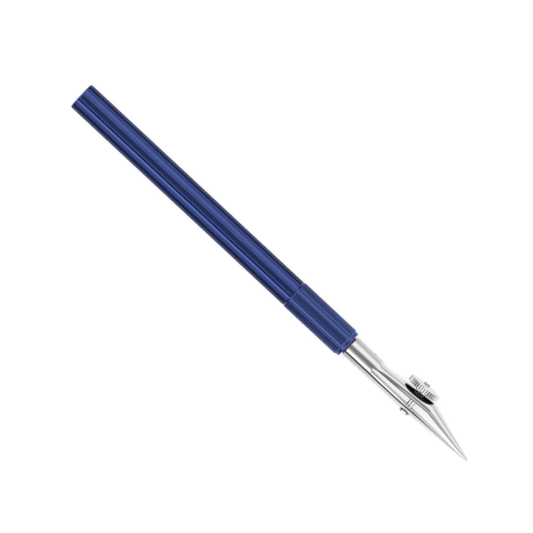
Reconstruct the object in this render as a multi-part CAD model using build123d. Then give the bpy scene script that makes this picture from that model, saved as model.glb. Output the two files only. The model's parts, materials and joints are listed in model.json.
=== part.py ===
from build123d import *
import os
from math import asin, atan2, cos, degrees, hypot, radians, sin

# Adjustable ruling pen, in millimetres.
#
# Every piece is drawn in the pen's own frame: X runs along the pen towards the tip and is 0 at the
# collar's front face, and Z points to the side of the thumb nut. The finished pieces are then laid
# on the table as the pen rests by itself, on its collar and on the rim of its thumb nut.

# Overall
REAR_END_X = -96.25
TIP_X = 43.75

# Grip collar, which screws onto the barrel's spigot and clamps the nib
COLLAR_LENGTH = 19.7
COLLAR_R = 4.15
COLLAR_REAR_BEVEL = 0.3
COLLAR_REAR_BEVEL_LENGTH = 0.38
COLLAR_RIBS = 26
RIB_GROOVE_R = 0.22
RIB_GROOVE_DEPTH = 0.15
RIB_LENGTH = 18.55
RIB_TURN = 8.7
RIM_R = 3.88
RIM_BEVEL = 0.25
COLLAR_MOUTH_R = 2.6
COLLAR_MOUTH_DEPTH = 2.4
BUSH_CLEARANCE = 0.01

# Barrel: fluted bar with a turned spigot for the collar
BARREL_GAP = 0.05
BARREL_R = 4.0
BARREL_END_ROUNDING = 0.5
FLUTES = 7
FLUTE_R = 2.4
FLUTE_DEPTH = 0.3
RIDGE_ROUNDING = 0.25
SPIGOT_R = 3.0
SPIGOT_LENGTH = 11.5
SPIGOT_CLEARANCE = 0.06
BARREL_BORE_R = 2.3
BARREL_BORE_DEPTH = 7.0

# Clamping collet, which fits the barrel's bore and grips the tang
COLLET_TAIL_R = 2.25
COLLET_HEAD_R = 2.75
COLLET_NOSE_R = 2.15
COLLET_NOSE_X = -3.4
COLLET_CONE_LENGTH = 2.2
COLLET_HEAD_LENGTH = 1.0
COLLET_LENGTH = 19.6
COLLET_SLOT_WIDTH = 0.5
COLLET_SLOT_LENGTH = 13.0
CONE_CLEARANCE = 0.08

# Nib: two half-round bars riveted together, relieved in front to leave a slot for the ink
TANG_R = 1.75
TANG_LENGTH = 23.5
TANG_CLEARANCE = 0.03
SHANK_R = 3.0
SHANK_RISE = 0.1
SHANK_REAR_X = 0.45
SEAM_Z = -0.15
SEAM_GAP = 0.02
SLOT_ROOT_X = 8.9
BLADE_OVERLAP = 0.5
WAIST_X = 11.6
WAIST_GAP = 0.1
RIVET_X = 6.9
RIVET_R = 0.5

# Blade sections along the pen: x, height of the flat inner face, height of the crown,
# half of the width, and height of the flat side
LOWER_BLADE = (
    (SLOT_ROOT_X - BLADE_OVERLAP, -0.90, -2.87, 2.78, 0.15),
    (14.0, -0.90, -2.87, 2.78, 0.25),
    (18.0, -0.90, -2.85, 2.78, 0.30),
    (22.5, -0.92, -2.70, 2.75, 0.30),
    (28.7, -0.97, -2.33, 2.45, 0.28),
    (34.5, -1.04, -1.93, 1.70, 0.25),
    (40.0, -1.12, -1.63, 0.85, 0.18),
    (TIP_X, -1.20, -1.38, 0.25, 0.08),
)
UPPER_BLADE_ROOT = (
    (SLOT_ROOT_X - BLADE_OVERLAP, 0.36, 3.07, 2.93, 0.10),
    (9.6, 0.42, 3.04, 2.92, 0.24),
    (10.7, 0.51, 2.64, 2.78, 0.40),
    (WAIST_X - WAIST_GAP / 2, 0.56, 2.66, 2.74, 0.48),
)
UPPER_BLADE = (
    (WAIST_X + WAIST_GAP / 2, 0.57, 2.67, 2.74, 0.48),
    (15.0, 0.68, 2.94, 2.78, 0.60),
    (18.5, 0.85, 3.29, 2.78, 0.70),
    (22.5, 1.08, 3.70, 2.75, 0.70),
    (26.0, 1.29, 4.07, 2.60, 0.50),
    (27.3, 1.33, 4.12, 2.50, 0.46),
    (28.6, 1.13, 3.78, 2.36, 0.44),
    (34.5, 0.25, 2.01, 1.64, 0.36),
    (40.0, -0.62, 0.37, 0.82, 0.20),
    (TIP_X, -1.00, -0.75, 0.25, 0.08),
)

# Adjusting screw and thumb nut, on an axis that leans a little towards the handle.
# Heights are along that axis, from the pen's axis.
SCREW_X = 22.5
SCREW_LEAN = 2.2
SCREW_R = 0.95
SCREW_HEAD_R = 1.55
SCREW_HEAD_HEIGHT = 0.8
SCREW_HEAD_SIDE = 0.42
SCREW_DOME_R = 1.44
SCREW_HEAD_SEAT = -2.76
SCREW_END = 6.85
SCREW_END_DOME = 0.25
STAKE_WIDTH = 0.3
STAKE_DEPTH = 0.2
UPPER_HOLE_R = 1.35
LOWER_HOLE_R = 1.08
NUT_BORE_R = 1.05
NUT_R = 4.75
NUT_HUB_R = 1.7
NUT_HUB_BOTTOM = 3.85
NUT_RIM_BOTTOM = 4.5
NUT_RIM_TOP = 6.1
NUT_RIM_BEVEL = 0.25
NUT_DOME = 0.37
DOME_SHARE_HALFWAY = 0.75
NUT_TEETH = 40
NUT_GROOVE_R = 0.24
NUT_GROOVE_DEPTH = 0.12

# The pen rests on its collar and on the lower edge of the nut's rim. The roll about the pen's axis
# that brings both down to the table follows from their two radii.
RIM_EDGE_HEIGHT = (NUT_RIM_BOTTOM + NUT_RIM_BEVEL) * cos(radians(SCREW_LEAN))
REST_ROLL = degrees(asin(COLLAR_R / hypot(NUT_R, RIM_EDGE_HEIGHT)) + atan2(RIM_EDGE_HEIGHT, NUT_R))
SCREW_END_Y = SCREW_END * sin(radians(REST_ROLL))

# From the pen's frame to the part's frame, whose origin is under the middle of the lying pen
MIDDLE = Vector((REAR_END_X + TIP_X) / 2, (SCREW_END_Y - COLLAR_R) / 2, -COLLAR_R)
LYING = Location(-MIDDLE, (-REST_ROLL, 0, 0))
SCREW_AXIS = Location((SCREW_X, 0, 0), (0, -SCREW_LEAN, 0))

COLLAR_REAR_X = -COLLAR_LENGTH
SHOULDER_X = COLLAR_REAR_X - BARREL_GAP
# Longer than any hole is deep, and a margin by which a cutter passes the surface it cuts
THROUGH = 20
CUT_MARGIN = 1


def turned(*outline):
    """Solid turned about the X axis from an outline of (x, radius) points."""
    return revolve(make_face(Polyline(*outline, close=True)), Axis.X)


def turned_on_z(*outline):
    """Solid turned about the Z axis from an outline of (radius, height) points."""
    return revolve(Plane.XZ * make_face(Polyline(*outline, close=True)), Axis.Z)


def grooved_disc(radius, count, groove_r, groove_depth, start_angle=0):
    """Circle with round grooves cut evenly into its edge."""
    centres = PolarLocations(radius - groove_depth + groove_r, count, start_angle)
    return Circle(radius) - [place * Circle(groove_r) for place in centres]


def handle_barrel():
    # A land, midway between two flutes, faces straight up when the pen lies at rest.
    half_pitch = 180 / FLUTES
    section = grooved_disc(BARREL_R, FLUTES, FLUTE_R, FLUTE_DEPTH, 90 + REST_ROLL + half_pitch)
    section = fillet(section.vertices(), RIDGE_ROUNDING)
    bar = extrude(Plane.YZ.offset(REAR_END_X) * section, SHOULDER_X - REAR_END_X)
    blank = Pos((REAR_END_X + SHOULDER_X) / 2, 0, 0) * Rot(0, 90, 0) * Cylinder(
        BARREL_R, SHOULDER_X - REAR_END_X
    )
    rear_edge = blank.edges().filter_by(GeomType.CIRCLE).sort_by(Axis.X)[0]
    bar = bar & fillet(rear_edge, BARREL_END_ROUNDING)
    spigot = turned(
        (SHOULDER_X, 0),
        (SHOULDER_X, SPIGOT_R),
        (SHOULDER_X + SPIGOT_LENGTH, SPIGOT_R),
        (SHOULDER_X + SPIGOT_LENGTH, 0),
    )
    bore = turned(
        (SHOULDER_X - BARREL_BORE_DEPTH, 0),
        (SHOULDER_X - BARREL_BORE_DEPTH, BARREL_BORE_R),
        (SHOULDER_X + SPIGOT_LENGTH, BARREL_BORE_R),
        (SHOULDER_X + SPIGOT_LENGTH, 0),
    )
    return bar + spigot - bore


def clamping_collet():
    cone_rear = COLLET_NOSE_X - COLLET_CONE_LENGTH
    head_rear = cone_rear - COLLET_HEAD_LENGTH
    tail_front = head_rear - (COLLET_HEAD_R - COLLET_TAIL_R)
    tail_rear = COLLET_NOSE_X - COLLET_LENGTH
    bore_r = TANG_R + TANG_CLEARANCE
    sleeve = turned(
        (tail_rear, bore_r),
        (tail_rear, COLLET_TAIL_R),
        (tail_front, COLLET_TAIL_R),
        (head_rear, COLLET_HEAD_R),
        (cone_rear, COLLET_HEAD_R),
        (COLLET_NOSE_X, COLLET_NOSE_R),
        (COLLET_NOSE_X, bore_r),
    )
    slot = Pos(COLLET_NOSE_X - COLLET_SLOT_LENGTH / 2, 0, 0) * Box(
        COLLET_SLOT_LENGTH, 2 * COLLAR_R, COLLET_SLOT_WIDTH
    )
    return sleeve - slot - Rot(90, 0, 0) * slot


def grip_collar():
    cone_slope = (COLLET_HEAD_R - COLLET_NOSE_R) / COLLET_CONE_LENGTH
    thread_r = SPIGOT_R + SPIGOT_CLEARANCE
    throat_r = COLLET_NOSE_R + CONE_CLEARANCE
    cone_rear = COLLET_NOSE_X - (thread_r - throat_r) / cone_slope
    ribs_front = COLLAR_REAR_X + RIB_LENGTH
    collar = turned(
        (COLLAR_REAR_X, thread_r),
        (COLLAR_REAR_X, COLLAR_R - COLLAR_REAR_BEVEL),
        (COLLAR_REAR_X + COLLAR_REAR_BEVEL_LENGTH, COLLAR_R),
        (ribs_front, COLLAR_R),
        (ribs_front + COLLAR_R - RIM_R, RIM_R),
        (-RIM_BEVEL, RIM_R),
        (0, RIM_R - RIM_BEVEL),
        (0, COLLAR_MOUTH_R),
        (-COLLAR_MOUTH_DEPTH, COLLAR_MOUTH_R),
        (-COLLAR_MOUTH_DEPTH, throat_r),
        (COLLET_NOSE_X, throat_r),
        (cone_rear, thread_r),
    )
    ribbed = grooved_disc(COLLAR_R, COLLAR_RIBS, RIB_GROOVE_R, RIB_GROOVE_DEPTH, RIB_TURN)
    grooves = extrude(Plane.YZ.offset(COLLAR_REAR_X) * (Circle(COLLAR_R + CUT_MARGIN) - ribbed), RIB_LENGTH)
    return collar - grooves


def neck_bush():
    bush_r = COLLAR_MOUTH_R - BUSH_CLEARANCE
    bore_r = TANG_R + TANG_CLEARANCE
    front_x = SHANK_REAR_X - TANG_CLEARANCE
    return turned(
        (-COLLAR_MOUTH_DEPTH, bore_r),
        (-COLLAR_MOUTH_DEPTH, bush_r),
        (front_x, bush_r),
        (front_x, bore_r),
    )


def blade_section(x, inner, crown, half_width, side):
    """D-shaped section across the pen: flat inner face, short flat sides and an arched crown."""
    shoulder = inner + side if crown > inner else inner - side
    flats = Polyline(
        (half_width, shoulder), (half_width, inner), (-half_width, inner), (-half_width, shoulder)
    )
    arch = ThreePointArc((-half_width, shoulder), (0, crown), (half_width, shoulder))
    return Plane.YZ.offset(x) * make_face(flats + arch)


def blade(sections):
    return loft([blade_section(*section) for section in sections], ruled=True)


def shank_bar():
    """The shank before it is cut along the seam."""
    return Pos(0, 0, SHANK_RISE) * turned(
        (SHANK_REAR_X, 0), (SHANK_REAR_X, SHANK_R), (SLOT_ROOT_X, SHANK_R), (SLOT_ROOT_X, 0)
    )


def half_shank(keep):
    """Tang and shank in one round bar, cut along the seam; keep is the half that is left."""
    tang = turned(
        (SHANK_REAR_X - TANG_LENGTH, 0),
        (SHANK_REAR_X - TANG_LENGTH, TANG_R),
        (SHANK_REAR_X, TANG_R),
        (SHANK_REAR_X, 0),
    )
    seam = SEAM_Z + (SEAM_GAP / 2 if keep == Keep.TOP else -SEAM_GAP / 2)
    bar = split(tang + shank_bar(), bisect_by=Plane.XY.offset(seam), keep=keep)
    return bar - Pos(RIVET_X, 0, 0) * Cylinder(RIVET_R, THROUGH)


def lower_blade():
    hole = SCREW_AXIS * Cylinder(LOWER_HOLE_R, THROUGH)
    return half_shank(Keep.BOTTOM) + (blade(LOWER_BLADE) - hole)


def upper_blade_root():
    return half_shank(Keep.TOP) + blade(UPPER_BLADE_ROOT)


def upper_blade():
    return blade(UPPER_BLADE) - SCREW_AXIS * Cylinder(UPPER_HOLE_R, THROUGH)


def shank_rivet():
    return Pos(RIVET_X, 0, 0) * Cylinder(RIVET_R, THROUGH) & shank_bar()


def adjusting_screw():
    shaft = turned_on_z(
        (0, SCREW_HEAD_SEAT),
        (SCREW_R, SCREW_HEAD_SEAT),
        (SCREW_R, SCREW_END - SCREW_END_DOME),
        (SCREW_R - SCREW_END_DOME, SCREW_END),
        (0, SCREW_END),
    )
    dome_height = SCREW_HEAD_HEIGHT - SCREW_HEAD_SIDE
    dome_edge = (SCREW_DOME_R, SCREW_HEAD_SEAT - SCREW_HEAD_SIDE)
    head_bottom = (0, SCREW_HEAD_SEAT - SCREW_HEAD_HEIGHT)
    head_outline = make_face(
        Polyline(head_bottom, (0, SCREW_HEAD_SEAT), (SCREW_HEAD_R, SCREW_HEAD_SEAT), dome_edge)
        + RadiusArc(dome_edge, head_bottom, (SCREW_DOME_R**2 + dome_height**2) / (2 * dome_height))
    )
    head = revolve(Plane.XZ * head_outline, Axis.Z)
    stake = Pos(0, 0, SCREW_END) * Box(2 * SCREW_R, STAKE_WIDTH, 2 * STAKE_DEPTH)
    return SCREW_AXIS * (shaft + head - stake - Rot(0, 0, 90) * stake)


def thumb_nut():
    disc = turned_on_z(
        (NUT_BORE_R, NUT_RIM_BOTTOM),
        (NUT_R - NUT_RIM_BEVEL, NUT_RIM_BOTTOM),
        (NUT_R, NUT_RIM_BOTTOM + NUT_RIM_BEVEL),
        (NUT_R, NUT_RIM_TOP - NUT_RIM_BEVEL),
        (NUT_R - NUT_RIM_BEVEL, NUT_RIM_TOP),
        (NUT_R / 2, NUT_RIM_TOP + NUT_DOME * DOME_SHARE_HALFWAY),
        (NUT_BORE_R, NUT_RIM_TOP + NUT_DOME),
    )
    toothed = grooved_disc(NUT_R, NUT_TEETH, NUT_GROOVE_R, NUT_GROOVE_DEPTH)
    disc_height = NUT_RIM_TOP + NUT_DOME - NUT_RIM_BOTTOM
    disc = disc & extrude(Plane.XY.offset(NUT_RIM_BOTTOM) * toothed, disc_height)
    hub = turned_on_z(
        (NUT_BORE_R, NUT_HUB_BOTTOM),
        (NUT_HUB_R, NUT_HUB_BOTTOM),
        (NUT_HUB_R, NUT_RIM_BOTTOM),
        (NUT_BORE_R, NUT_RIM_BOTTOM),
    )
    return SCREW_AXIS * (disc + hub)


SUB_PARTS = (
    handle_barrel,
    clamping_collet,
    grip_collar,
    neck_bush,
    lower_blade,
    upper_blade_root,
    upper_blade,
    shank_rivet,
    adjusting_screw,
    thumb_nut,
)

os.makedirs("parts", exist_ok=True)
for make in SUB_PARTS:
    export_step(LYING * make(), f"parts/{make.__name__}.step")
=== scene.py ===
import json
from math import acos, atan2, cos, pi, radians, sin, sqrt, tan

import bmesh
import bpy
import numpy as np
from mathutils import Matrix, Vector


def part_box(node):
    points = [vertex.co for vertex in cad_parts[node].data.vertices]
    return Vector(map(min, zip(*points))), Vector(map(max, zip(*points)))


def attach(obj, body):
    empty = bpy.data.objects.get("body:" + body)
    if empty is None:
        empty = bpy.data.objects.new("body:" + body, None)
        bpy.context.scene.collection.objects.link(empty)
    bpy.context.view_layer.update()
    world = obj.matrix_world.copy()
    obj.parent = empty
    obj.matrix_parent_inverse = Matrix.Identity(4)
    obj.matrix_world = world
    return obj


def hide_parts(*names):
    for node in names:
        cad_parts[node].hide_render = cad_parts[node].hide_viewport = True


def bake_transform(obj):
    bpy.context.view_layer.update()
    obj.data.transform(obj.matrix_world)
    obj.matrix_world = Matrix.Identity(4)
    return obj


# Looks of the adjustable ruling pen. The pieces are drawn in millimetres in the pen's own frame, as
# in the CAD: X runs along the pen to the tip and is 0 at the collar's front face, and Z points to the
# side of the thumb nut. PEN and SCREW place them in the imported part.

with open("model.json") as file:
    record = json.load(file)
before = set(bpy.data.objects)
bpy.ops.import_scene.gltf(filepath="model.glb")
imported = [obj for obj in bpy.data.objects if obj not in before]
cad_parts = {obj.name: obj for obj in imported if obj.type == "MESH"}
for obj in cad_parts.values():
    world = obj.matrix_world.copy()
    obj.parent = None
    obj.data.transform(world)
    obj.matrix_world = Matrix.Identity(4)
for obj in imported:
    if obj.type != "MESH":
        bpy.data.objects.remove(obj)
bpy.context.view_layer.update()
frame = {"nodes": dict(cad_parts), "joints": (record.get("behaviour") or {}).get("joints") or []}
MM = 0.001

# ---------------------------------------------------------------- places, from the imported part
joints = {joint["name"]: joint for joint in frame["joints"]}
pen_x = Vector((1, 0, 0))
pen_y = -Vector(joints["blade_flex"]["axis"])
pen_z = pen_x.cross(pen_y)
pen_origin = Vector(joints["collar_turn"]["pos_m"])
pen_origin.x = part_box("grip_collar")[1].x

screw_z = Vector(joints["nut_turn"]["axis"])
screw_point = Vector(joints["nut_turn"]["pos_m"])
screw_origin = screw_point - screw_z * ((screw_point - pen_origin).dot(pen_z) / screw_z.dot(pen_z))


def placement(origin, x, y, z):
    """Matrix from millimetres in a frame with these axes to metres in the part."""
    turn = Matrix((x, y, z)).transposed().to_4x4()
    return Matrix.Translation(origin) @ turn @ Matrix.Scale(MM, 4)


PEN = placement(pen_origin, pen_x, pen_y, pen_z)
SCREW = placement(screw_origin, pen_y.cross(screw_z), pen_y, screw_z)
STRAIGHT_UP = atan2(pen_z.z, pen_y.z)

# ---------------------------------------------------------------- dimensions, in millimetres
REAR_END_X = (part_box("handle_barrel")[0].x - pen_origin.x) / MM
TIP_X = (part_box("lower_blade")[1].x - pen_origin.x) / MM

# The collar and the nut are a hair smaller than in the CAD, to stay inside its box.
COLLAR_REAR_X = (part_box("grip_collar")[0].x - pen_origin.x) / MM
COLLAR_R = 4.148
COLLAR_BEVEL = 0.3
COLLAR_BEVEL_LENGTH = 0.38
RIBS = 26
RIB_GROOVE_R = 0.22
RIB_GROOVE_DEPTH = 0.15
RIB_EDGE_ROUNDING = 0.015
RIB_TURN = radians(8.7)
RIBS_FRONT_X = COLLAR_REAR_X + 18.55
RIBS_FADE_X = RIBS_FRONT_X - 0.2
RIBS_FADE_LENGTH = 0.5
RIM_R = 3.88
RIM_BEVEL = 0.25
MOUTH_R = 2.6
MOUTH_BEVEL = 0.1
MOUTH_DEPTH = 2.4
THROAT_R = 2.23
COLLAR_THREAD_R = 3.06
CONE_FRONT_X = -3.4
CONE_REAR_X = -6.45

BARREL_R = 4.0
BARREL_GAP = 0.05
BARREL_END_ROUNDING = 0.5
BARREL_END_FLAT_R = 1.5
BARREL_END_SOFTNESS = 0.04
BARREL_FRONT_BEVEL = 0.08
FLUTES = 7
FLUTE_R = 2.4
FLUTE_DEPTH = 0.3
FLUTE_EDGE_ROUNDING = 0.06
SPIGOT_R = 3.0
SPIGOT_LENGTH = 11.5
SPIGOT_PITCH = 0.75
SPIGOT_THREAD_DEPTH = 0.35
SPIGOT_END_BEVEL = 0.4
BORE_R = 2.3
BORE_DEPTH = 7.0

BUSH_R = 2.59
BUSH_BORE_R = 1.78
BUSH_FRONT_X = 0.42
BUSH_EDGE_ROUNDING = 0.18

TANG_R = 1.75
TANG_REAR_X = -23.05
SHANK_R = 3.0
SHANK_RISE = 0.1
SHANK_REAR_X = 0.45
# The shank's rear edge: distance from its end, and how far the radius falls short there
SHANK_REAR_EDGE = ((0, 0.1), (0.03, 0.04), (0.1, 0))
SEAM_Z = -0.15
SEAM_GAP = 0.02
SLOT_ROOT_X = 8.9
SLOT_ROOT_R = 0.1
SLOT_FLARE = 0.05
SHANK_SIDE = 0.1
BLADE_EDGE_BEVEL = 0.22
BLADE_EDGE_SLOPE = 0.6
TIP_ROUNDING = 0.5
NIB_SHARP_ANGLE = 16
RIVET_X = 6.9
RIVET_R = 0.5
RIVET_GAP = 0.02
RIVET_SUNK = 0.1
RIVET_DOME = 0.06
RIVET_DOME_R = 0.35
WAIST_X = 11.6

# Blade sections: x, height of the inner face, height of the crown, half width, height of the side,
# and how far the side leans towards the crown, in degrees
LOWER_BLADE = (
    (9.6, -0.90, -2.90, 2.82, 0.06, 0),
    (14.0, -0.90, -2.87, 2.78, 0.06, 0),
    (19.0, -0.90, -2.83, 2.78, 0.08, 0),
    (22.5, -0.92, -2.70, 2.75, 0.10, 0),
    (28.7, -0.97, -2.33, 2.45, 0.12, 0),
    (34.5, -1.04, -1.93, 1.70, 0.12, 0),
    (40.0, -1.12, -1.63, 0.85, 0.12, 0),
    (TIP_X - TIP_ROUNDING, -1.19, -1.40, 0.30, 0.08, 0),
    (TIP_X - 0.15, -1.20, -1.38, 0.24, 0.08, 0),
    (TIP_X, -1.20, -1.34, 0.12, 0.06, 0),
)
UPPER_BLADE = (
    (9.6, 0.36, 3.06, 2.93, 0.24, 3),
    (10.7, 0.51, 2.66, 2.78, 0.40, 3),
    (WAIST_X, 0.56, 2.66, 2.74, 0.48, 3),
    (15.0, 0.68, 2.94, 2.78, 0.60, 2),
    (18.5, 0.85, 3.29, 2.78, 0.70, -4),
    (21.0, 0.99, 3.54, 2.77, 0.70, -8),
    (23.5, 1.14, 3.81, 2.71, 0.62, -8),
    (26.0, 1.29, 4.07, 2.60, 0.50, -8),
    (27.3, 1.33, 4.12, 2.50, 0.44, -8),
    (28.6, 1.13, 3.78, 2.36, 0.38, -8),
    (34.5, 0.25, 2.01, 1.64, 0.26, -8),
    (40.0, -0.62, 0.37, 0.82, 0.16, -4),
    (TIP_X - TIP_ROUNDING, -0.95, -0.62, 0.29, 0.12, 0),
    (TIP_X - 0.15, -0.99, -0.75, 0.24, 0.10, 0),
    (TIP_X, -1.00, -0.84, 0.12, 0.06, 0),
)
# How oval the backs of the blades are once the round shank has run out, and at the tip
ROUND_TO_OVAL = 4.0
TAPER_START_X = 19.0
LOWER_OVALNESS = (0.15, 0.5)
UPPER_OVALNESS = (1.0, 1.0)

SCREW_R = 0.95
SCREW_HEAD_R = 1.55
SCREW_HEAD_HEIGHT = 0.8
SCREW_HEAD_SIDE = 0.42
SCREW_DOME_R = 1.44
SCREW_HEAD_SEAT = -2.76
SCREW_END = 6.849
SCREW_END_DOME = 0.25
SCREW_PITCH = 0.4
SCREW_NECK = 0.05
SCREW_SHANK_START = -2.6
THREAD_START = 2.7
THREAD_DEPTH = 0.18
THREAD_RUN_IN = 0.4
STAKE_WIDTH = 0.3
STAKE_DEPTH = 0.2
UPPER_HOLE_R = 1.35
LOWER_HOLE_R = 1.08
NUT_BORE_R = 1.05
NUT_BORE_BEVEL = 0.15
NUT_R = 4.744
NUT_HUB_R = 1.7
NUT_UNDERSIDE_R = 3.0
NUT_HUB_BEVEL = 0.1
NUT_HUB_BOTTOM = 3.85
NUT_RIM_BOTTOM = 4.5
NUT_RIM_TOP = 6.1
NUT_RIM_BEVEL = 0.25
NUT_DOME = 0.37
NUT_TEETH = 40
NUT_KNURL_DEPTH = 0.2
NUT_SHARP_ANGLE = 20

# Radius of the smallest ring, which closes a piece on its axis
ON_AXIS = 0.001


# ---------------------------------------------------------------- mesh tools
def smooth_min(a, b, width):
    """The smaller of a and b, with the corner between them rounded over this width."""
    share = np.clip(0.5 + 0.5 * (b - a) / width, 0, 1)
    return b + (a - b) * share - width * share * (1 - share)


def full_turn(count):
    """This many evenly spaced angles round a circle."""
    return np.arange(count) * 2 * pi / count


def grooved_radius(angles, radius, count, groove_r, depth, turn, softness):
    """Radius at each angle of a round bar with evenly spaced round grooves."""
    pitch = 2 * pi / count
    off_centre = (angles - turn + pitch / 2) % pitch - pitch / 2
    centre = radius - depth + groove_r
    within = groove_r**2 - (centre * np.sin(off_centre)) ** 2
    groove = centre * np.cos(off_centre) - np.sqrt(np.maximum(within, 0))
    groove = np.where(within > 0, groove, 2 * radius)
    return smooth_min(radius, groove, softness)


def knurled_edge(radius, teeth, depth):
    """Angles and radii round an edge with rounded ridges and grooves."""
    angles = full_turn(teeth * 12)
    return angles, radius - depth * (1 - np.cos(teeth * angles)) / 2


def thread_radius(angles, position, radius, pitch, depth):
    """Radius of a right-handed thread at this place along its axis."""
    phase = (position / pitch - angles / (2 * pi)) % 1
    return radius - depth * np.abs(2 * phase - 1)


def rings_on_x(angles, profile):
    """Rings round the pen's axis from (x, radius) pairs; a radius may vary with the angle."""
    return [
        np.column_stack((np.full(len(angles), x), r * np.cos(angles), r * np.sin(angles)))
        for x, r in profile
    ]


def rings_on_z(angles, profile):
    """Rings round the Z axis from (radius, height) pairs; a radius may vary with the angle."""
    return [
        np.column_stack((r * np.cos(angles), r * np.sin(angles), np.full(len(angles), z)))
        for r, z in profile
    ]


def corner(start, end, bulge_first, steps=5):
    """Quarter round from start to end; bulge_first says which coordinate moves first."""
    (a0, b0), (a1, b1) = start, end
    points = []
    for i in range(steps + 1):
        turn = pi / 2 * i / steps
        fast, slow = sin(turn), 1 - cos(turn)
        share_a, share_b = (fast, slow) if bulge_first == 0 else (slow, fast)
        points.append((a0 + (a1 - a0) * share_a, b0 + (b1 - b0) * share_b))
    return points


def skin(name, rings, place, looped=False, sharp_angle=32):
    """Smooth-shaded mesh over a stack of rings, closed at both ends or joined end to start."""
    size = len(rings[0])
    points = np.concatenate(rings)
    spans = len(rings) if looped else len(rings) - 1
    faces = []
    for i in range(spans):
        near, far = i * size, (i + 1) % len(rings) * size
        for j in range(size):
            k = (j + 1) % size
            faces.append((near + j, near + k, far + k, far + j))
    if not looped:
        faces.append(tuple(range(size)))
        faces.append(tuple(reversed(range(len(points) - size, len(points)))))
    mesh = bpy.data.meshes.new(name)
    mesh.from_pydata([place @ Vector(p) for p in points], [], faces)
    piece = bpy.data.objects.new(name, mesh)
    bpy.context.scene.collection.objects.link(piece)
    clean(mesh, sharp_angle)
    return piece


def clean(mesh, sharp_angle=32):
    """Joins doubled points, turns faces outwards and shades the mesh smooth up to an angle."""
    work = bmesh.new()
    work.from_mesh(mesh)
    bmesh.ops.remove_doubles(work, verts=work.verts, dist=1e-6)
    bmesh.ops.dissolve_degenerate(work, dist=1e-7, edges=work.edges)
    bmesh.ops.recalc_face_normals(work, faces=work.faces)
    work.to_mesh(mesh)
    work.free()
    mesh.polygons.foreach_set("use_smooth", [True] * len(mesh.polygons))
    mesh.set_sharp_from_angle(angle=radians(sharp_angle))
    mesh.update()


def cut(piece, *cutters, sharp_angle=32):
    """Takes the cutters out of the piece and removes them."""
    for cutter in cutters:
        modifier = piece.modifiers.new("cut", "BOOLEAN")
        modifier.operation = "DIFFERENCE"
        modifier.solver = "EXACT"
        modifier.object = cutter
    bpy.context.view_layer.update()
    shown = piece.evaluated_get(bpy.context.evaluated_depsgraph_get())
    mesh = bpy.data.meshes.new_from_object(shown)
    piece.modifiers.clear()
    piece.data = mesh
    mesh.name = piece.name
    for cutter in cutters:
        bpy.data.objects.remove(cutter)
    clean(mesh, sharp_angle)


def rod(radius, bottom, top, place, x=0):
    """Round cutter along the Z axis."""
    profile = [(radius, bottom), (radius, top)]
    rings = [ring + (x, 0, 0) for ring in rings_on_z(full_turn(48), profile)]
    return skin("cutter", rings, place)


def bar(length, width, bottom, top, place):
    """Square-cornered cutter across the Z axis."""
    outline = np.array(((-1, -1), (1, -1), (1, 1), (-1, 1))) * (length / 2, width / 2)
    rings = [np.column_stack((outline, np.full(4, z))) for z in (bottom, top)]
    return skin("cutter", rings, place)


def smooth_stations(stations, xs):
    """Stations read off at every x, on curves that don't overshoot them."""
    table = np.array(stations)
    x0 = table[:, 0]
    step = np.diff(x0)
    slopes = np.diff(table[:, 1:], axis=0) / step[:, None]
    tangents = np.zeros_like(table[:, 1:])
    tangents[0], tangents[-1] = slopes[0], slopes[-1]
    before, after = slopes[:-1], slopes[1:]
    same_way = before * after > 0
    total = np.where(same_way, before + after, 1)
    tangents[1:-1] = np.where(same_way, 2 * before * after / total, 0)
    place = np.clip(np.searchsorted(x0, xs, side="right") - 1, 0, len(step) - 1)
    width = step[place][:, None]
    t = ((xs - x0[place]) / step[place])[:, None]
    lower, upper = table[place, 1:], table[place + 1, 1:]
    values = (
        (1 + 2 * t) * (1 - t) ** 2 * lower
        + t * (1 - t) ** 2 * width * tangents[place]
        + t**2 * (3 - 2 * t) * upper
        + t**2 * (t - 1) * width * tangents[place + 1]
    )
    return np.column_stack((xs, values))


def half_section(x, inner, crown, half_width, side, lean=0, ovalness=0):
    """Section of one nib half: flat inner face with broken edges, short sides and an arched back.

    The arch runs from part of a circle to half of an oval as ovalness goes from 0 to 1."""
    out = 1 if crown > inner else -1
    bevel = min(BLADE_EDGE_BEVEL, side * 0.6, half_width * 0.3)
    shoulder = inner + out * side
    rise = abs(crown - shoulder)
    half_arch = half_width - (side - bevel) * tan(radians(lean))
    radius = (half_arch**2 + rise**2) / (2 * rise)
    centre = crown - out * radius
    widest = acos((radius - rise) / radius)
    flat_edge = half_width - bevel * BLADE_EDGE_SLOPE
    points = [(flat_edge, inner), (half_width, inner + out * bevel)]
    for share in np.linspace(1, -1, 41):
        on_circle = (radius * sin(widest * share), centre + out * radius * cos(widest * share))
        on_oval = (half_arch * sin(pi / 2 * share), shoulder + out * rise * cos(pi / 2 * share))
        points.append(tuple(c + (o - c) * ovalness for c, o in zip(on_circle, on_oval)))
    points.append((-half_width, inner + out * bevel))
    points.append((-flat_edge, inner))
    points.extend((y, inner) for y in np.linspace(-flat_edge, flat_edge, 12)[1:-1])
    return np.array([(x, y, z) for y, z in points])


def half_round(x, radius, rise, cut_z, out):
    """Section of a round bar centred at this height, of which one side of the cut is left."""
    half_width = sqrt(radius**2 - (cut_z - rise) ** 2)
    return half_section(x, cut_z, rise + out * radius, half_width, SHANK_SIDE)


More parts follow.
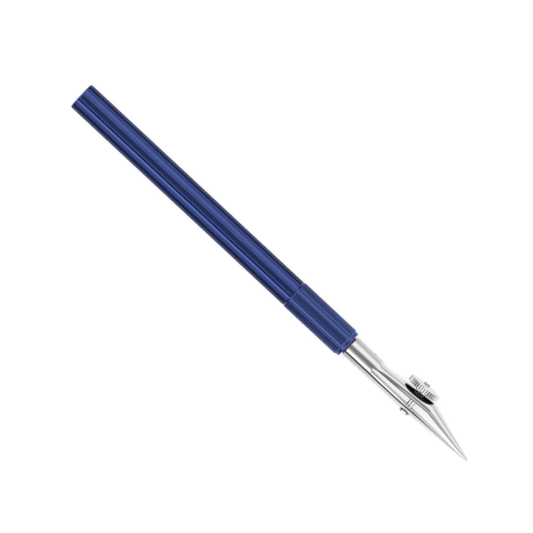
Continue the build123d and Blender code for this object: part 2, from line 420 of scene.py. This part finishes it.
def nib_half(name, out, stations, ovalness):
    """Tang, shank and blade of one half of the nib in one mesh.

    The ovalness is a pair: just after the shank has run out, and at the tip."""
    seam = SEAM_Z + out * SEAM_GAP / 2
    rings = [half_round(x, TANG_R, 0, seam, out) for x in (TANG_REAR_X, SHANK_REAR_X)]
    for step, shortfall in SHANK_REAR_EDGE:
        rings.append(half_round(SHANK_REAR_X + step, SHANK_R - shortfall, SHANK_RISE, seam, out))
    for x in np.linspace(1, SLOT_ROOT_X, 30):
        rings.append(half_round(x, SHANK_R, SHANK_RISE, seam, out))
    slot_face = stations[0][1] - out * SLOT_FLARE
    root_steps = 8
    for i in range(1, root_steps + 1):
        turn = pi / 2 * i / root_steps
        x = SLOT_ROOT_X + SLOT_ROOT_R * (1 - cos(turn))
        face = seam + (slot_face - seam) * sin(turn)
        rings.append(half_round(x, SHANK_R, SHANK_RISE, face, out))
    along_blade = np.linspace(stations[0][0], TIP_X - TIP_ROUNDING, 150)
    at_tip = np.linspace(TIP_X - 0.8 * TIP_ROUNDING, TIP_X, 9)
    oval_places = (SLOT_ROOT_X, SLOT_ROOT_X + ROUND_TO_OVAL, TAPER_START_X, TIP_X)
    oval_shares = (0, ovalness[0], ovalness[0], ovalness[1])
    for row in smooth_stations(stations, np.concatenate((along_blade, at_tip))):
        rings.append(half_section(*row, ovalness=np.interp(row[0], oval_places, oval_shares)))
    return skin(name, rings, PEN, sharp_angle=NIB_SHARP_ANGLE)


# ---------------------------------------------------------------- pieces
def make_barrel():
    angles = full_turn(FLUTES * 48)
    turn = STRAIGHT_UP + pi / FLUTES
    fluted = grooved_radius(
        angles, BARREL_R, FLUTES, FLUTE_R, FLUTE_DEPTH, turn, FLUTE_EDGE_ROUNDING
    )
    shoulder = COLLAR_REAR_X - BARREL_GAP
    rear = corner(
        (REAR_END_X, BARREL_R - BARREL_END_ROUNDING),
        (REAR_END_X + BARREL_END_ROUNDING, BARREL_R),
        1,
        10,
    )
    profile = [(REAR_END_X, ON_AXIS), (REAR_END_X, BARREL_END_FLAT_R)]
    profile += [(x, smooth_min(fluted, r, BARREL_END_SOFTNESS)) for x, r in rear]
    profile += [(x, fluted) for x in np.linspace(REAR_END_X + 1, shoulder - BARREL_FRONT_BEVEL, 60)]
    profile += [(shoulder, fluted - BARREL_FRONT_BEVEL), (shoulder, SPIGOT_R)]
    end = shoulder + SPIGOT_LENGTH
    for x in np.arange(shoulder + 0.2, end - SPIGOT_END_BEVEL, SPIGOT_PITCH / 6):
        profile.append((x, thread_radius(angles, x, SPIGOT_R, SPIGOT_PITCH, SPIGOT_THREAD_DEPTH)))
    profile += [(end, SPIGOT_R - SPIGOT_END_BEVEL), (end, BORE_R)]
    profile += [(shoulder - BORE_DEPTH, BORE_R), (shoulder - BORE_DEPTH, ON_AXIS)]
    return skin("barrel", rings_on_x(angles, profile), PEN)


def make_collar():
    angles = full_turn(RIBS * 18)
    ribbed = grooved_radius(
        angles, COLLAR_R, RIBS, RIB_GROOVE_R, RIB_GROOVE_DEPTH, RIB_TURN, RIB_EDGE_ROUNDING
    )
    profile = [(COLLAR_REAR_X, COLLAR_THREAD_R), (COLLAR_REAR_X, COLLAR_R - COLLAR_BEVEL)]
    for share in np.linspace(0, 1, 6)[1:]:
        bevel_r = COLLAR_R - COLLAR_BEVEL * (1 - share)
        profile.append((COLLAR_REAR_X + COLLAR_BEVEL_LENGTH * share, np.minimum(ribbed, bevel_r)))
    profile += [(x, ribbed) for x in np.linspace(COLLAR_REAR_X + 0.6, RIBS_FADE_X - 0.05, 24)]
    for share in np.linspace(0, 1, 9):
        fade = share * share * (3 - 2 * share)
        profile.append((RIBS_FADE_X + RIBS_FADE_LENGTH * share, ribbed + (RIM_R - ribbed) * fade))
    rim_start = RIBS_FADE_X + RIBS_FADE_LENGTH + 0.1
    profile += [(x, RIM_R) for x in np.linspace(rim_start, -RIM_BEVEL - 0.05, 4)]
    profile += corner((-RIM_BEVEL, RIM_R), (0, RIM_R - RIM_BEVEL), 0)
    profile += corner((0, MOUTH_R + MOUTH_BEVEL), (-MOUTH_BEVEL, MOUTH_R), 1, 3)
    profile += [
        (-MOUTH_DEPTH, MOUTH_R),
        (-MOUTH_DEPTH, THROAT_R),
        (CONE_FRONT_X, THROAT_R),
        (CONE_REAR_X, COLLAR_THREAD_R),
    ]
    return skin("collar", rings_on_x(angles, profile), PEN, looped=True)


def make_bush():
    profile = [(-MOUTH_DEPTH, BUSH_BORE_R), (-MOUTH_DEPTH, BUSH_R), (0, BUSH_R)]
    profile += corner(
        (BUSH_FRONT_X - BUSH_EDGE_ROUNDING, BUSH_R), (BUSH_FRONT_X, BUSH_R - BUSH_EDGE_ROUNDING), 0
    )
    profile += [(BUSH_FRONT_X, BUSH_BORE_R)]
    return skin("bush", rings_on_x(full_turn(96), profile), PEN, looped=True)


def make_screw():
    angles = full_turn(64)
    head_bottom = SCREW_HEAD_SEAT - SCREW_HEAD_HEIGHT
    dome_height = SCREW_HEAD_HEIGHT - SCREW_HEAD_SIDE
    dome_r = (SCREW_DOME_R**2 + dome_height**2) / (2 * dome_height)
    profile = [(ON_AXIS, head_bottom)]
    for turn in np.linspace(0, acos((dome_r - dome_height) / dome_r), 11)[1:]:
        profile.append((dome_r * sin(turn), head_bottom + dome_r * (1 - cos(turn))))
    for share in (0.1, 0.5, 0.9, 1):
        side_r = SCREW_DOME_R + (SCREW_HEAD_R - SCREW_DOME_R) * share
        profile.append((side_r, SCREW_HEAD_SEAT - SCREW_HEAD_SIDE * (1 - share)))
    profile += [(SCREW_R + SCREW_NECK, SCREW_HEAD_SEAT), (SCREW_R, SCREW_HEAD_SEAT + SCREW_NECK)]
    profile += [(SCREW_R, z) for z in np.linspace(SCREW_SHANK_START, THREAD_START, 12)]
    for z in np.arange(THREAD_START + 0.05, SCREW_END - SCREW_END_DOME, SCREW_PITCH / 8):
        depth = min(THREAD_DEPTH, (z - THREAD_START) * THREAD_RUN_IN)
        profile.append((thread_radius(angles, z, SCREW_R, SCREW_PITCH, depth), z))
    end_edge = (SCREW_R, SCREW_END - SCREW_END_DOME)
    profile += corner(end_edge, (SCREW_R - SCREW_END_DOME, SCREW_END), 1)
    profile += [(ON_AXIS, SCREW_END)]
    screw = skin("screw", rings_on_z(angles, profile), SCREW)
    for quarter in (0, 1):
        place = SCREW @ Matrix.Rotation(quarter * pi / 2, 4, "Z")
        cut(screw, bar(3 * SCREW_R, STAKE_WIDTH, SCREW_END - STAKE_DEPTH, SCREW_END + 1, place))
    return screw


def make_nut():
    angles, knurled = knurled_edge(NUT_R, NUT_TEETH, NUT_KNURL_DEPTH)
    profile = [
        (NUT_BORE_R, NUT_HUB_BOTTOM),
        (NUT_HUB_R - NUT_HUB_BEVEL, NUT_HUB_BOTTOM),
        (NUT_HUB_R, NUT_HUB_BOTTOM + NUT_HUB_BEVEL),
        (NUT_HUB_R, NUT_RIM_BOTTOM),
        (NUT_UNDERSIDE_R, NUT_RIM_BOTTOM),
    ]
    flat_r = NUT_R - NUT_RIM_BEVEL
    low = corner((flat_r, NUT_RIM_BOTTOM), (NUT_R, NUT_RIM_BOTTOM + NUT_RIM_BEVEL), 0, 7)
    high = corner((NUT_R, NUT_RIM_TOP - NUT_RIM_BEVEL), (flat_r, NUT_RIM_TOP), 1, 7)
    middle = [(NUT_R, z) for z in np.linspace(low[-1][1], high[0][1], 6)[1:-1]]
    profile += [(np.minimum(knurled, r), z) for r, z in low + middle + high]
    for share in np.linspace(0.95, 0.32, 14):
        profile.append((flat_r * share, NUT_RIM_TOP + NUT_DOME * (1 - share**2)))
    profile.append((NUT_BORE_R + NUT_BORE_BEVEL, NUT_RIM_TOP + NUT_DOME * 0.93))
    profile.append((NUT_BORE_R, NUT_RIM_TOP + 0.2))
    return skin("nut", rings_on_z(angles, profile), SCREW, looped=True, sharp_angle=NUT_SHARP_ANGLE)


def make_rivet():
    top = SHANK_RISE + SHANK_R - RIVET_SUNK
    bottom = SHANK_RISE - SHANK_R + RIVET_SUNK
    side_r = RIVET_R - RIVET_GAP
    profile = [
        (ON_AXIS, bottom),
        (RIVET_DOME_R, bottom),
        (side_r, bottom + RIVET_DOME),
        (side_r, top - RIVET_DOME),
        (RIVET_DOME_R, top),
        (ON_AXIS, top),
    ]
    rings = [ring + (RIVET_X, 0, 0) for ring in rings_on_z(full_turn(32), profile)]
    return skin("rivet", rings, PEN)


# ---------------------------------------------------------------- materials
HANDLE_BLUE = (0.013, 0.036, 0.2)
COLLAR_BLUE = (0.015, 0.042, 0.195)
BLUE_EDGE = (0.3, 0.4, 1.0)
COAT_IOR = 1.45
# Near black used as painted shade in grooves and on faces towards the blade.
PAINTED_SHADE_DARK = (0.06, 0.06, 0.062)
BRASS = (0.72, 0.5, 0.2)
DULL_BRASS = (0.58, 0.38, 0.14)
DULL_BLACK = (0.012, 0.012, 0.014)
CHROME = (0.6, 0.6, 0.6)
STEEL = (0.57, 0.57, 0.57)
NICKEL = (0.6, 0.6, 0.595)


def material(name, base, metallic, roughness):
    """New material with its node tree and its shader."""
    made = bpy.data.materials.new(name)
    made.use_nodes = True
    tree = made.node_tree
    shader = tree.nodes["Principled BSDF"]
    shader.inputs["Base Color"].default_value = (*base, 1)
    shader.inputs["Metallic"].default_value = metallic
    shader.inputs["Roughness"].default_value = roughness
    return made, tree, shader


def noise(tree, scale, detail=4.0, roughness=0.55, distortion=0.0):
    """Noise in the piece's own space, stretched by its scale along each axis, in waves a metre."""
    place = tree.nodes.new("ShaderNodeTexCoord")
    stretch = tree.nodes.new("ShaderNodeMapping")
    stretch.inputs["Scale"].default_value = scale
    texture = tree.nodes.new("ShaderNodeTexNoise")
    texture.inputs["Scale"].default_value = 1
    texture.inputs["Detail"].default_value = detail
    texture.inputs["Roughness"].default_value = roughness
    texture.inputs["Distortion"].default_value = distortion
    tree.links.new(place.outputs["Object"], stretch.inputs["Vector"])
    tree.links.new(stretch.outputs["Vector"], texture.inputs["Vector"])
    return texture.outputs["Fac"]


def spread(tree, source, low, high, from_low=0.3, from_high=0.7):
    """The source's values from from_low to from_high, mapped to run from low to high."""
    node = tree.nodes.new("ShaderNodeMapRange")
    node.inputs["From Min"].default_value = from_low
    node.inputs["From Max"].default_value = from_high
    node.inputs["To Min"].default_value = low
    node.inputs["To Max"].default_value = high
    tree.links.new(source, node.inputs["Value"])
    return node.outputs["Result"]


def mixed_colour(tree, share, first, second):
    """Colour between two others, each a socket or a tuple, by the share of the second."""
    node = tree.nodes.new("ShaderNodeMix")
    node.data_type = "RGBA"
    for socket, colour in (("A", first), ("B", second)):
        inputs = [i for i in node.inputs if i.name == socket and i.type == "RGBA"]
        if isinstance(colour, tuple):
            inputs[0].default_value = (*colour, 1)
        else:
            tree.links.new(colour, inputs[0])
    tree.links.new(share, node.inputs["Factor"])
    return [o for o in node.outputs if o.type == "RGBA"][0]


def bumped(tree, shader, *layers):
    """Bump from (height, strength, depth in metres) layers, the first lowest."""
    normal = None
    for height, strength, depth in layers:
        bump = tree.nodes.new("ShaderNodeBump")
        bump.inputs["Strength"].default_value = strength
        bump.inputs["Distance"].default_value = depth
        tree.links.new(height, bump.inputs["Height"])
        if normal is not None:
            tree.links.new(normal, bump.inputs["Normal"])
        normal = bump.outputs["Normal"]
    tree.links.new(normal, shader.inputs["Normal"])


def product_of(tree, first, second):
    """Socket that holds one value times the other."""
    node = tree.nodes.new("ShaderNodeMath")
    node.operation = "MULTIPLY"
    tree.links.new(first, node.inputs[0])
    tree.links.new(second, node.inputs[1])
    return node.outputs["Value"]


def painted_groove_shade(tree, start, end):
    """Painted shade: 1 deep in narrow grooves, where shade falls, and 0 elsewhere, broken up a little
    by noise.
    """
    geometry = tree.nodes.new("ShaderNodeNewGeometry")
    groove = spread(tree, geometry.outputs["Pointiness"], 1, 0, start, end)
    patches = spread(tree, noise(tree, (500, 500, 500)), 0.75, 1, 0.35, 0.5)
    return product_of(tree, groove, patches)


def worn_and_highlit_edges(tree, start, end):
    """1 on outer edges, worn and given a painted highlight, and 0 elsewhere, broken up by noise."""
    geometry = tree.nodes.new("ShaderNodeNewGeometry")
    edge = spread(tree, geometry.outputs["Pointiness"], 0, 1, start, end)
    patches = spread(tree, noise(tree, (400, 1500, 1500)), 0, 1, 0.4, 0.65)
    return product_of(tree, edge, patches)


def anodised_material(name, blue, worn_highlight_blue, roughness, streak_scale, coat_roughness, groove_shade_range):
    """Dyed aluminium: rough blue metal under a clear glossy layer, with streaks along the pen, lighter
    outer edges for wear and a painted highlight, and painted shade in the grooves.

    The roughness and the groove shade range, for the painted shade in the grooves, are (low, high)
    pairs."""
    made, tree, shader = material(name, blue, 1, sum(roughness) / 2)
    streaks = noise(tree, streak_scale, detail=8, roughness=0.7)
    patches = noise(tree, (150, 400, 400))
    surface_blue = mixed_colour(tree, patches, blue, tuple(c * 1.15 for c in blue))
    # Outer edges lighter: worn dye and a painted highlight along the ridges.
    surface_blue = mixed_colour(tree, worn_and_highlit_edges(tree, 0.54, 0.62), surface_blue, worn_highlight_blue)
    # Painted shade: the grooves darken to a deep blue.
    surface_blue = mixed_colour(tree, painted_groove_shade(tree, *groove_shade_range), surface_blue, tuple(c * 0.15 for c in blue))
    tree.links.new(surface_blue, shader.inputs["Base Color"])
    tree.links.new(spread(tree, streaks, *roughness), shader.inputs["Roughness"])
    shader.inputs["Coat Weight"].default_value = 1
    shader.inputs["Coat Roughness"].default_value = coat_roughness
    shader.inputs["Coat IOR"].default_value = COAT_IOR
    shader.inputs["Specular Tint"].default_value = (*BLUE_EDGE, 1)
    bumped(tree, shader, (streaks, 0.4, 0.00002), (noise(tree, (9000, 9000, 9000)), 0.2, 0.00001))
    return made


def plated_material(name, colour, roughness, scale):
    """Bright plated steel with faint polishing marks and a few duller patches."""
    made, tree, shader = material(name, colour, 1, roughness)
    marks = noise(tree, scale, detail=6, roughness=0.6)
    patches = noise(tree, (250, 600, 600))
    dull = tuple(c * 0.92 for c in colour)
    tree.links.new(mixed_colour(tree, patches, colour, dull), shader.inputs["Base Color"])
    tree.links.new(spread(tree, marks, roughness * 0.6, roughness * 1.6), shader.inputs["Roughness"])
    bumped(tree, shader, (marks, 0.15, 0.00001), (noise(tree, (4000, 4000, 4000)), 0.1, 0.00001))
    return made


def steel_with_painted_shade(name, colour, shaded_way, groove_shade_range):
    """Plated steel with painted shade, near black, in its grooves and on faces that look this way,
    such as the screw head's seat and the nut's underside where they face the blade.
    """
    made = plated_material(name, colour, 0.1, (3500, 3500, 3500))
    tree = made.node_tree
    shader = tree.nodes["Principled BSDF"]
    plate = shader.inputs["Base Color"].links[0].from_socket
    place = tree.nodes.new("ShaderNodeTexCoord")
    facing = tree.nodes.new("ShaderNodeVectorMath")
    facing.operation = "DOT_PRODUCT"
    facing.inputs[1].default_value = shaded_way
    tree.links.new(place.outputs["Normal"], facing.inputs[0])
    shaded_face = spread(tree, facing.outputs["Value"], 0, 1, 0.5, 0.85)
    # Painted shade: grooves and the faces that look the given way turn near black.
    shaded = mixed_colour(tree, painted_groove_shade(tree, *groove_shade_range), plate, PAINTED_SHADE_DARK)
    shaded = mixed_colour(tree, shaded_face, shaded, PAINTED_SHADE_DARK)
    tree.links.new(shaded, shader.inputs["Base Color"])
    return made


def brass_material():
    """Turned brass, with fine rings round the pen and duller patches."""
    made, tree, shader = material("brass", BRASS, 1, 0.28)
    rings = noise(tree, (9000, 60, 60), detail=3)
    colour = mixed_colour(tree, noise(tree, (300, 300, 300)), BRASS, DULL_BRASS)
    tree.links.new(colour, shader.inputs["Base Color"])
    tree.links.new(spread(tree, rings, 0.2, 0.4), shader.inputs["Roughness"])
    bumped(tree, shader, (rings, 0.3, 0.00002))
    return made


def dull_black_material():
    """Dull black with a fine grain, for the dark ring in the collar's mouth."""
    made, tree, shader = material("black_rubber", DULL_BLACK, 0, 0.45)
    grain = noise(tree, (7000, 7000, 7000), detail=5)
    colour = mixed_colour(tree, grain, (0.008, 0.008, 0.01), (0.02, 0.02, 0.022))
    tree.links.new(colour, shader.inputs["Base Color"])
    tree.links.new(spread(tree, grain, 0.4, 0.62), shader.inputs["Roughness"])
    bumped(tree, shader, (grain, 0.3, 0.00002))
    return made


MATERIALS = {
    "handle_blue": anodised_material(
        "handle_blue",
        HANDLE_BLUE,
        worn_highlight_blue=(0.06, 0.09, 0.28),
        roughness=(0.14, 0.24),
        streak_scale=(60, 5000, 5000),
        coat_roughness=0.06,
        groove_shade_range=(0.42, 0.48),
    ),
    "collar_blue": anodised_material(
        "collar_blue",
        COLLAR_BLUE,
        worn_highlight_blue=(0.1, 0.13, 0.32),
        roughness=(0.24, 0.4),
        streak_scale=(90, 6000, 6000),
        coat_roughness=0.14,
        groove_shade_range=(0.465, 0.5),
    ),
    "black_rubber": dull_black_material(),
    "brass": brass_material(),
    "blade_chrome": plated_material("blade_chrome", CHROME, 0.07, (700, 3500, 3500)),
    # Painted shade on the faces towards the blade: the screw's faces looking along its axis, the nut's
    # looking back down it.
    "screw_steel": steel_with_painted_shade("screw_steel", STEEL, screw_z, groove_shade_range=(0.4, 0.45)),
    "nut_nickel": steel_with_painted_shade("nut_nickel", NICKEL, -screw_z, groove_shade_range=(0.485, 0.503)),
}


def finish_piece(piece, slot, nodes, body=None):
    """Gives the piece its material, hides the CAD nodes it stands for and, unless it bends, gives it
    its body.
    """
    piece.data.materials.clear()
    piece.data.materials.append(MATERIALS[slot])
    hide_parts(*nodes)
    if body:
        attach(piece, body)


finish_piece(make_barrel(), "handle_blue", ["handle_barrel"], "handle")
finish_piece(make_collar(), "collar_blue", ["grip_collar"], "collar")
finish_piece(make_bush(), "black_rubber", ["neck_bush"], "collar")

lower = nib_half("lower_nib_half", -1, LOWER_BLADE, LOWER_OVALNESS)
lower_holes = (rod(LOWER_HOLE_R, -6, 0.5, SCREW), rod(RIVET_R, -6, 6, PEN, RIVET_X))
cut(lower, *lower_holes, sharp_angle=NIB_SHARP_ANGLE)
finish_piece(lower, "blade_chrome", ["lower_blade"], "nib")

upper = nib_half("upper_nib_half", 1, UPPER_BLADE, UPPER_OVALNESS)
upper_holes = (rod(UPPER_HOLE_R, 0, 6, SCREW), rod(RIVET_R, -6, 6, PEN, RIVET_X))
cut(upper, *upper_holes, sharp_angle=NIB_SHARP_ANGLE)
finish_piece(upper, "blade_chrome", ["upper_blade_root", "upper_blade"])
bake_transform(upper)

finish_piece(make_rivet(), "screw_steel", ["shank_rivet"], "nib")
finish_piece(make_screw(), "screw_steel", ["adjusting_screw"], "screw")
finish_piece(make_nut(), "nut_nickel", ["thumb_nut"], "nut")

collet = frame["nodes"]["clamping_collet"]
collet.data.materials.clear()
collet.data.materials.append(MATERIALS["brass"])

# ---------------------------------------------------------------- floor, light and camera
FLOOR_SIZE = 6.0
FLOOR_GREY = (0.12, 0.12, 0.12)
FLOOR_GLOW = 0.75
# How bright the table looks in the metal, beside the handle and beside the nib, and the places
# along the pen and across it, in metres, between which it changes
TABLE_NEAR = (0.12, 0.35)
TABLE_FAR = (0.03, 0.3)
HANDLE_TO_NIB = (0.01, 0.04)
NEAR_TO_FAR = (0.012, 0.024)


def floor_material():
    """Glowing white table, as on a light box, that looks greyer in reflections away from the pen."""
    made, tree, shader = material("floor", FLOOR_GREY, 0, 0.9)
    geometry = tree.nodes.new("ShaderNodeNewGeometry")
    place = tree.nodes.new("ShaderNodeSeparateXYZ")
    tree.links.new(geometry.outputs["Position"], place.inputs["Vector"])
    near = spread(tree, place.outputs["X"], *TABLE_NEAR, *HANDLE_TO_NIB)
    far = spread(tree, place.outputs["X"], *TABLE_FAR, *HANDLE_TO_NIB)
    distance = tree.nodes.new("ShaderNodeMath")
    distance.operation = "ABSOLUTE"
    tree.links.new(place.outputs["Y"], distance.inputs[0])
    nearness = spread(tree, distance.outputs["Value"], 1, 0, *NEAR_TO_FAR)
    reflected = mixed_colour(tree, nearness, far, near)
    path = tree.nodes.new("ShaderNodeLightPath")
    in_metal = path.outputs["Is Glossy Ray"]
    tree.links.new(mixed_colour(tree, in_metal, FLOOR_GREY, reflected), shader.inputs["Base Color"])
    tree.links.new(mixed_colour(tree, in_metal, (1, 1, 1), reflected), shader.inputs["Emission Color"])
    shader.inputs["Emission Strength"].default_value = FLOOR_GLOW
    return made


def make_floor():
    half = FLOOR_SIZE / 2
    mesh = bpy.data.meshes.new("floor")
    corners = [(-half, -half, 0), (half, -half, 0), (half, half, 0), (-half, half, 0)]
    mesh.from_pydata(corners, [], [(0, 1, 2, 3)])
    mesh.materials.append(floor_material())
    floor = bpy.data.objects.new("floor", mesh)
    bpy.context.scene.collection.objects.link(floor)


# Brightness of the studio by the angle from straight up in degrees, on the side of the thumb nut and
# on the other side: a darker ceiling round the camera, large softboxes and a dark gap under them.
NUT_SIDE = (
    (0, 0.33),
    (13, 0.35),
    (20, 0.65),
    (27, 1.2),
    (36, 1.5),
    (56, 1.5),
    (66, 1.25),
    (78, 0.9),
    (86, 0.7),
    (180, 0.75),
)
OTHER_SIDE = (
    (0, 0.33),
    (12, 0.33),
    (17, 0.75),
    (32, 0.95),
    (40, 1.4),
    (48, 2.4),
    (59, 2.4),
    (64, 1.3),
    (69, 0.15),
    (86, 0.02),
    (90, 0.6),
    (180, 0.8),
)
BRIGHTEST_LEVEL = 3
# Softboxes beyond the pen's ends, with the sideways and endways shares of a direction between
# which the studio changes
END_LEVEL = 1.5
SIDE_CHANGE = (-0.12, 0.12)
END_CHANGE = (0.75, 0.9)


def level_by_angle(tree, angle, stops):
    """Brightness that runs through (degrees, level) stops."""
    ramp = tree.nodes.new("ShaderNodeFloatCurve")
    tree.links.new(spread(tree, angle, 0, 1, 0, pi), ramp.inputs["Value"])
    curve = ramp.mapping.curves[0]
    ramp.mapping.clip_max_y = BRIGHTEST_LEVEL
    for i, (degrees, level) in enumerate(stops):
        point = curve.points[i] if i < 2 else curve.points.new(0.5, 0.5)
        point.location = (degrees / 180, level)
    for point in curve.points:
        point.handle_type = "VECTOR"
    ramp.mapping.update()
    return ramp.outputs["Value"]


def blended(tree, share, first, second):
    """Mix of two values, each a socket or a number."""
    node = tree.nodes.new("ShaderNodeMix")
    for socket, value in zip(node.inputs[2:4], (first, second)):
        if isinstance(value, float):
            socket.default_value = value
        else:
            tree.links.new(value, socket)
    tree.links.new(share, node.inputs["Factor"])
    return node.outputs["Result"]


def studio_light():
    """World whose brightness follows the angle from straight up, with a softbox at each end."""
    world = bpy.data.worlds.new("studio")
    bpy.context.scene.world = world
    world.use_nodes = True
    tree = world.node_tree
    background = tree.nodes["Background"]
    place = tree.nodes.new("ShaderNodeTexCoord")
    parts = tree.nodes.new("ShaderNodeSeparateXYZ")
    tree.links.new(place.outputs["Generated"], parts.inputs["Vector"])
    angle = tree.nodes.new("ShaderNodeMath")
    angle.operation = "ARCCOSINE"
    tree.links.new(parts.outputs["Z"], angle.inputs[0])
    side = spread(tree, parts.outputs["Y"], 0, 1, *SIDE_CHANGE)
    other_side = level_by_angle(tree, angle.outputs["Value"], OTHER_SIDE)
    nut_side = level_by_angle(tree, angle.outputs["Value"], NUT_SIDE)
    sides = blended(tree, side, other_side, nut_side)
    along = tree.nodes.new("ShaderNodeMath")
    along.operation = "ABSOLUTE"
    tree.links.new(parts.outputs["X"], along.inputs[0])
    at_end = spread(tree, along.outputs["Value"], 0, 1, *END_CHANGE)
    tree.links.new(blended(tree, at_end, sides, END_LEVEL), background.inputs["Color"])


TABLE_LIGHT_SIZE = 1.6
TABLE_LIGHT_POWER = 36
TABLE_LIGHT_HEIGHT = 1.2


def table_light():
    """Soft light from above that whitens the table and isn't seen in the metal."""
    data = bpy.data.lights.new("table_light", "AREA")
    data.shape = "DISK"
    data.size = TABLE_LIGHT_SIZE
    data.energy = TABLE_LIGHT_POWER
    light = bpy.data.objects.new("table_light", data)
    light.location = (0, 0, TABLE_LIGHT_HEIGHT)
    light.visible_glossy = False
    light.visible_camera = False
    bpy.context.scene.collection.objects.link(light)


make_floor()
studio_light()
table_light()

# The camera looks straight down; its height is above the pen's axis
CAMERA_HEIGHT = 2.5
VIEW_WIDTH = 0.1402
CAMERA_TURN = radians(42.99)
CAMERA_AIM = Vector((-0.0036, -0.00095, 0))
camera_data = bpy.data.cameras.new("camera")
camera_data.sensor_width = 36
camera_data.lens = camera_data.sensor_width * CAMERA_HEIGHT / VIEW_WIDTH
camera_data.clip_end = 20
camera = bpy.data.objects.new("camera", camera_data)
camera.location = CAMERA_AIM + Vector((0, 0, CAMERA_HEIGHT + pen_origin.z))
camera.rotation_euler = (0, 0, CAMERA_TURN)
bpy.context.scene.collection.objects.link(camera)
bpy.context.scene.camera = camera
bpy.context.scene.view_settings.view_transform = "Standard"
